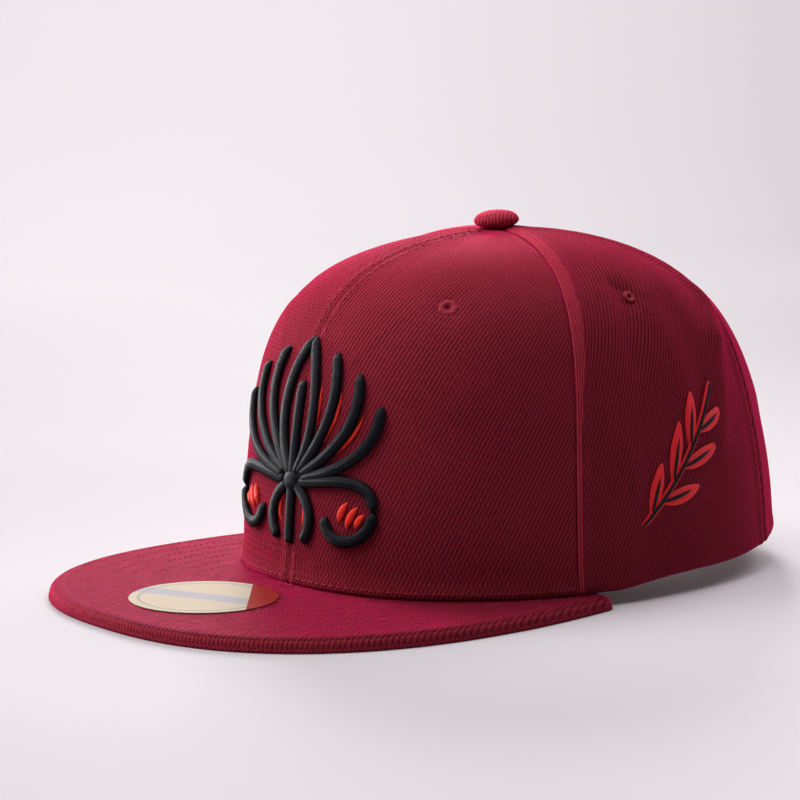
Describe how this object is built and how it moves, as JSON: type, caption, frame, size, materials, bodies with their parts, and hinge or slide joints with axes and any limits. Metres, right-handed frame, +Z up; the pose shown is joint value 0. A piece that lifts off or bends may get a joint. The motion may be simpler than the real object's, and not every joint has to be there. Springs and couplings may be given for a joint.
{
  "type": "flat brim cap",
  "caption": "Structured panelled cap with a flat stiff brim, covered top button, stitched eyelets, raised front ornament and flat side sprig.",
  "frame": {"origin": "on the floor under the middle of the bounding box, with the cap standing on its flat brim", "axes": "+Z up, -Y towards the tip of the brim, +X towards the wearer's left, the side with the sprig"},
  "size_m": [0.176, 0.2808, 0.1288],
  "materials": {
    "burgundy_twill": "burgundy twill cloth with a soft sheen",
    "dark_thread": "charcoal satin stitching over foam",
    "red_thread": "bright red satin stitching",
    "black_thread": "black satin stitching",
    "pale_foil": "pale gold foil sticker, glossy"
  },
  "bodies": {
    "root": {"panel_front_left": "burgundy_twill", "panel_front_right": "burgundy_twill", "panel_side_left": "burgundy_twill", "panel_side_right": "burgundy_twill", "panel_back_left": "burgundy_twill", "panel_back_right": "burgundy_twill", "eyelet_front_left": "burgundy_twill", "eyelet_front_right": "burgundy_twill", "eyelet_side_left": "burgundy_twill", "eyelet_side_right": "burgundy_twill", "eyelet_back_left": "burgundy_twill", "eyelet_back_right": "burgundy_twill", "top_button": "burgundy_twill", "brim": "burgundy_twill", "brim_sticker": "pale_foil", "front_ornament": "dark_thread", "ornament_accent_left": "red_thread", "ornament_accent_right": "red_thread", "side_sprig": "red_thread", "side_sprig_veins": "black_thread"}
  },
  "joints": []
}
